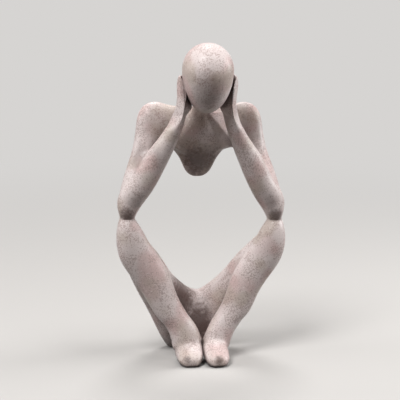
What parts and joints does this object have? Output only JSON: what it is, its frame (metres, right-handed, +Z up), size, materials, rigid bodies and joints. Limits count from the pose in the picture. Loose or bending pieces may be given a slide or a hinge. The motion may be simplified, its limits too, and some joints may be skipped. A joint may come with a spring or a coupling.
{
  "type": "thinker statue",
  "caption": "Seated abstract thinking figure, elbows on knees and flat hands to a smooth bowed egg head, in stone-effect casting resin.",
  "frame": {"origin": "on the ground under the middle of the figure's width and near the middle of its depth, below the line of the knees", "axes": "+Z up from the ground to the crown, -Y is the way the figure faces, +X to the right as seen from the front"},
  "size_m": [0.1376, 0.1007, 0.2609],
  "materials": {
    "stone_resin": "satin speckled stone-effect",
    "pin_steel": "ground",
    "felt": "needled felt"
  },
  "bodies": {
    "root": {"head": "stone_resin", "torso": "stone_resin", "left_arm": "stone_resin", "right_arm": "stone_resin", "pelvis": "stone_resin", "left_leg": "stone_resin", "right_leg": "stone_resin", "neck_dowel": "pin_steel", "left_shoulder_dowel": "pin_steel", "right_shoulder_dowel": "pin_steel", "left_knee_dowel": "pin_steel", "right_knee_dowel": "pin_steel", "left_hip_dowel": "pin_steel", "right_hip_dowel": "pin_steel", "left_foot_pad": "felt", "right_foot_pad": "felt", "seat_pad": "felt"}
  },
  "joints": []
}
